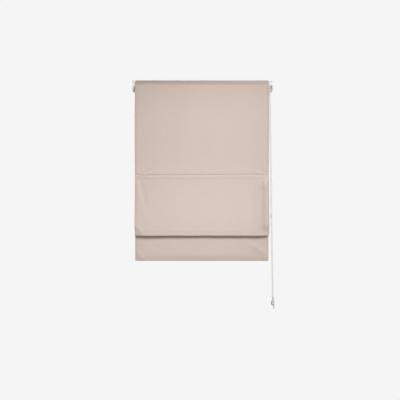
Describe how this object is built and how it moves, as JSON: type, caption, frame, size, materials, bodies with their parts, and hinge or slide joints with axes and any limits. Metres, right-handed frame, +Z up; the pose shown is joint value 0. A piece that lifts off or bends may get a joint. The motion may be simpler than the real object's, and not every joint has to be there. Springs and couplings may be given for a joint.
{
  "type": "roman blind",
  "caption": "Chain-operated roman blind: beige cloth with rods and weighted hem hung from a headrail, raised by cords on a shaft and a bead chain held by a tensioner.",
  "frame": {"origin": "midway between the two bracket screws, on the mounting plane above the headrail", "axes": "+X along the headrail to the chain end, +Y towards the window, +Z up"},
  "size_m": [0.652, 0.0527, 1.0489],
  "materials": {
    "grey_rail": "warm grey powder coat, satin",
    "zinc_steel": "zinc plated",
    "shaft_aluminium": "plain extruded",
    "bar_steel": "rolled",
    "white_tape": "woven tape",
    "white_plastic": "moulded, satin",
    "chain_plastic": "moulded beads",
    "clear_plastic": "moulded, milky",
    "rod_glassfibre": "pultruded",
    "white_cord": "braided",
    "beige_cloth": "plain weave, lined"
  },
  "bodies": {
    "frame": {"headrail": "grey_rail", "bracket_left": "zinc_steel", "bracket_right": "zinc_steel", "hook_tape": "white_tape", "loop_tape": "white_tape", "idle_end_plate": "white_plastic", "control_housing": "white_plastic", "clutch_core": "clear_plastic", "control_end_plate": "white_plastic", "spool_cradle_left": "white_plastic", "spool_cradle_right": "white_plastic", "lift_cord_left": "white_cord", "lift_cord_right": "white_cord", "upper_cloth": "beige_cloth", "bead_chain": "chain_plastic", "chain_joint": "clear_plastic", "tensioner_base": "white_plastic", "tensioner_cover": "white_plastic", "tensioner_screw": "zinc_steel"},
    "drive": {"shaft_bush": "white_plastic", "brake_spring": "zinc_steel", "chain_wheel": "white_plastic", "drive_hub": "clear_plastic", "drive_shaft": "shaft_aluminium", "cord_spool_left": "white_plastic", "cord_spool_right": "white_plastic", "wound_cord_left": "white_cord", "wound_cord_right": "white_cord"},
    "upper_fold": {"fold_cloth": "beige_cloth", "upper_rod_pocket": "white_tape", "upper_rod": "rod_glassfibre", "upper_rod_caps": "white_plastic", "cord_guides": "white_plastic"},
    "lower_fold": {"lower_cloth": "beige_cloth", "lower_rod_pocket": "white_tape", "lower_rod": "rod_glassfibre", "lower_rod_caps": "white_plastic", "cord_anchors": "white_plastic", "bottom_bar": "bar_steel", "bottom_bar_caps": "white_plastic"}
  },
  "joints": [
    {"name": "upper_fold_lift", "type": "slide", "parent": "frame", "child": "upper_fold", "axis": [0, 0, 1], "range_m": [0, 0.36], "deforming": ["upper_cloth", "lift_cord_left", "lift_cord_right"]},
    {"name": "lower_fold_lift", "type": "slide", "parent": "upper_fold", "child": "lower_fold", "axis": [0, 0, 1], "range_m": [-0.244, 0.14], "deforming": ["fold_cloth", "bead_chain"]},
    {"name": "drive_spin", "type": "hinge", "parent": "frame", "child": "drive", "pos_m": [0, 0, -0.021], "axis": [-1, 0, 0], "range_deg": [-1786, 1027]}
  ],
  "couplings": [
    {"joint": "drive_spin", "follows": "lower_fold_lift", "rad_per_m": 127.39}
  ]
}
